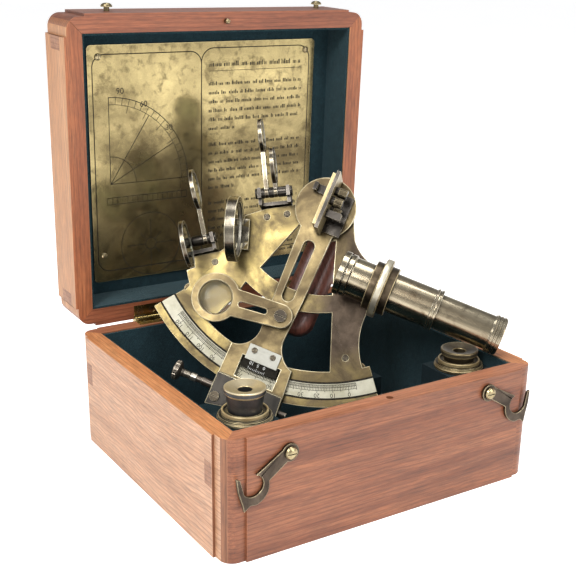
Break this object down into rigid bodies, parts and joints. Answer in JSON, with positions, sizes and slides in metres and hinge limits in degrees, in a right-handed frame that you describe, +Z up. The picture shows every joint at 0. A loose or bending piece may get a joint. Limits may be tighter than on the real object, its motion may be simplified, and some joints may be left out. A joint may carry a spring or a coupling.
{
  "type": "sextant box",
  "caption": "Wooden case with a hinged lid and hook latches, felt lined, holding a propped brass sextant, spare eyepieces and an engraved plate in its lid.",
  "frame": {"origin": "centre of the underside of the case", "axes": "+X to the right along the front with the hooks, +Y from the front to the hinges, +Z up"},
  "size_m": [0.24, 0.258, 0.3041],
  "materials": {
    "case_wood": "satin varnish",
    "green_felt": "matt felt",
    "end_grain": "dark end grain",
    "aged_brass": "patinated brass with worn edges",
    "engraved_brass": "engraved, mottled",
    "dark_brass": "dark patina",
    "silvered_brass": "silvered, brushed",
    "handle_wood": "polished",
    "clear_glass": "clear",
    "mirror_glass": "silvered",
    "shade_glass": "smoked"
  },
  "bodies": {
    "box": {"base_front": "case_wood", "base_back": "case_wood", "base_left": "case_wood", "base_right": "case_wood", "base_bottom": "case_wood", "base_lining": "green_felt", "base_joint_keys": "end_grain", "hinge_leaves_base": "aged_brass", "hinge_screws_base": "aged_brass", "hinge_pins": "aged_brass", "hook_screws": "aged_brass", "eyepiece_posts": "green_felt", "sextant_cradle": "green_felt"},
    "lid": {"lid_front": "case_wood", "lid_back": "case_wood", "lid_left": "case_wood", "lid_right": "case_wood", "lid_top": "case_wood", "lid_lining": "green_felt", "lid_joint_keys": "end_grain", "lid_dowel_pin": "aged_brass", "hinge_leaves_lid": "aged_brass", "hinge_screws_lid": "aged_brass", "lid_studs": "aged_brass", "plaque": "engraved_brass", "plaque_screws": "aged_brass"},
    "hook_left": {"hook_left": "dark_brass"},
    "hook_right": {"hook_right": "dark_brass"},
    "spare_eyepiece_left": {"spare_eyepiece_left": "aged_brass"},
    "spare_eyepiece_right": {"spare_eyepiece_right": "aged_brass"},
    "sextant": {"sextant_frame": "aged_brass", "limb_scale": "silvered_brass", "frame_pillars": "aged_brass", "handle": "handle_wood", "telescope_collar": "aged_brass", "telescope_tube": "aged_brass", "objective_lens": "clear_glass", "horizon_mirror_ring": "aged_brass", "horizon_mirror_glass": "mirror_glass", "shade_brackets": "dark_brass", "frame_screws": "aged_brass"},
    "telescope_draw_tube": {"telescope_draw_tube": "aged_brass"},
    "index_arm": {"index_arm": "aged_brass", "index_axle": "aged_brass", "vernier": "silvered_brass", "index_arm_screws": "aged_brass", "clamp_block": "aged_brass", "index_mirror_bracket": "aged_brass", "index_mirror_glass": "mirror_glass"},
    "tangent_screw": {"tangent_screw": "aged_brass"},
    "magnifier": {"magnifier_arm": "aged_brass", "magnifier_lens": "clear_glass"},
    "index_shade_long": {"index_shade_long": "aged_brass", "index_shade_long_glass": "shade_glass"},
    "index_shade_short": {"index_shade_short": "aged_brass", "index_shade_short_glass": "shade_glass"},
    "horizon_shade_upper": {"horizon_shade_upper": "aged_brass", "horizon_shade_upper_glass": "shade_glass"},
    "horizon_shade_lower": {"horizon_shade_lower": "aged_brass", "horizon_shade_lower_glass": "shade_glass"}
  },
  "joints": [
    {"name": "lid_hinge", "type": "hinge", "parent": "box", "child": "lid", "pos_m": [0, 0.1095, 0.08025], "axis": [-1, 0, 0], "range_deg": [-88, 0]},
    {"name": "sextant_take_out", "type": "slide", "parent": "box", "child": "sextant", "axis": [0, -0.788, 0.6157], "range_m": [0, 0.4301]},
    {"name": "hook_left_pivot", "type": "hinge", "parent": "box", "child": "hook_left", "pos_m": [-0.0773, -0.1098, 0.0653], "axis": [0, -1, 0], "range_deg": [-107.02, 50]},
    {"name": "hook_right_pivot", "type": "hinge", "parent": "box", "child": "hook_right", "pos_m": [0.0757, -0.1098, 0.0698], "axis": [0, 1, 0], "range_deg": [-88.75, 50]},
    {"name": "spare_eyepiece_left_lift", "type": "slide", "parent": "box", "child": "spare_eyepiece_left", "axis": [0, 0, 1], "range_m": [0, 0.03]},
    {"name": "spare_eyepiece_right_slide_out", "type": "slide", "parent": "box", "child": "spare_eyepiece_right", "axis": [-0.9511, 0, 0.309], "range_m": [0, 0.03]},
    {"name": "telescope_draw", "type": "slide", "parent": "sextant", "child": "telescope_draw_tube", "axis": [0.6507, -0.6953, -0.3052], "range_m": [-0.037, 0]},
    {"name": "index_arm_pivot", "type": "hinge", "parent": "sextant", "child": "index_arm", "pos_m": [0.0453, 0.0383, 0.1651], "axis": [-0.5665, -0.7121, 0.4147], "range_deg": [-7, 29.5]},
    {"name": "tangent_screw_turn", "type": "hinge", "parent": "index_arm", "child": "tangent_screw", "pos_m": [-0.03104, 0.02186, 0.03982], "axis": [0.6507, -0.6953, -0.3052], "continuous": true},
    {"name": "magnifier_swing", "type": "hinge", "parent": "index_arm", "child": "magnifier", "pos_m": [-0.00209, 0.02203, 0.09656], "axis": [-0.5665, -0.7121, 0.4147], "range_deg": [0, 84]},
    {"name": "index_shade_long_swing", "type": "hinge", "parent": "sextant", "child": "index_shade_long", "pos_m": [0.0128, 0.05711, 0.17713], "axis": [0.8112, -0.5706, 0.1282], "range_deg": [0, 140]},
    {"name": "index_shade_short_swing", "type": "hinge", "parent": "sextant", "child": "index_shade_short", "pos_m": [0.0128, 0.05711, 0.17713], "axis": [0.8112, -0.5706, 0.1282], "range_deg": [0, 140]},
    {"name": "horizon_shade_upper_swing", "type": "hinge", "parent": "sextant", "child": "horizon_shade_upper", "pos_m": [-0.03164, 0.07495, 0.14464], "axis": [0.8221, -0.5231, 0.2248], "range_deg": [0, 125]},
    {"name": "horizon_shade_lower_swing", "type": "hinge", "parent": "sextant", "child": "horizon_shade_lower", "pos_m": [-0.03164, 0.07495, 0.14464], "axis": [0.8221, -0.5231, 0.2248], "range_deg": [-58, 25]}
  ],
  "couplings": [
    {"joint": "sextant_take_out", "follows": "lid_hinge", "m_per_rad": -0.28}
  ]
}
